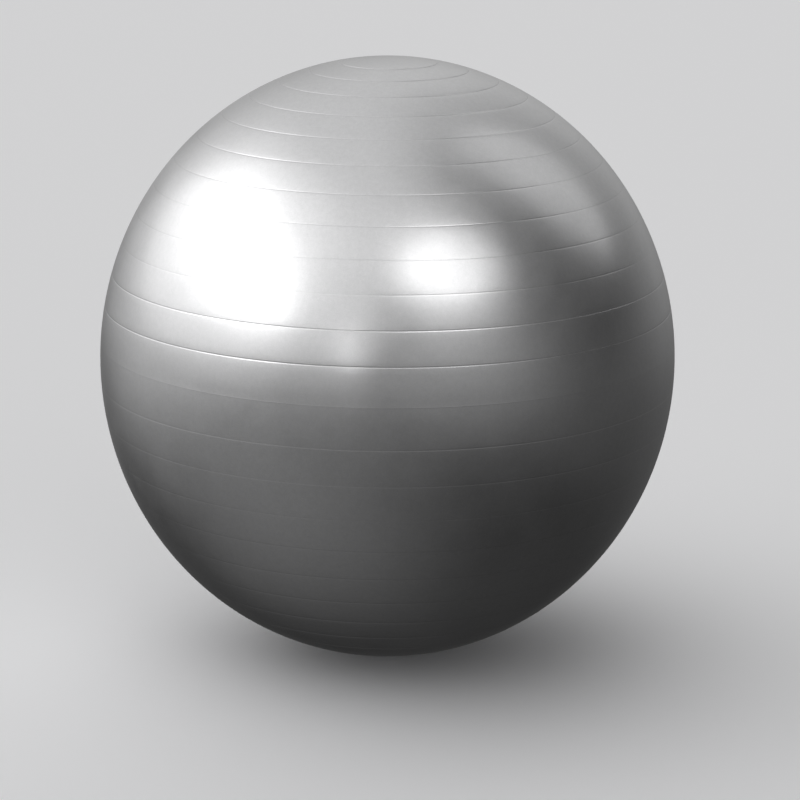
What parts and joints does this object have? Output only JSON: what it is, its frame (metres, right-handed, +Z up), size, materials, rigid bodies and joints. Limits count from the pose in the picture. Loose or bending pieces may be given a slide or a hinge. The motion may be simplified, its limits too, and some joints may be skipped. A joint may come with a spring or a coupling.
{
  "type": "exercise ball",
  "caption": "Inflated exercise ball with a smooth middle band, fine ring grooves above and below it, and a pull-out valve plug.",
  "frame": {"origin": "on the ground, at the centre of the flat resting patch under the ball", "axes": "+Z up along the ball's mould axis; +Y out of the valve, at the back of the ball; +X to the right seen from the front"},
  "size_m": [0.622, 0.6218, 0.6502],
  "materials": {
    "silver_pvc": "smooth pearl gloss",
    "valve_pvc": "satin",
    "plug_plastic": "satin"
  },
  "bodies": {
    "ball": {"ball_skin": "silver_pvc", "valve_seat": "valve_pvc"},
    "plug": {"valve_plug": "plug_plastic"}
  },
  "joints": [
    {"name": "plug_pull", "type": "slide", "parent": "ball", "child": "plug", "axis": [0, 1, 0], "range_m": [0, 0.03]}
  ]
}
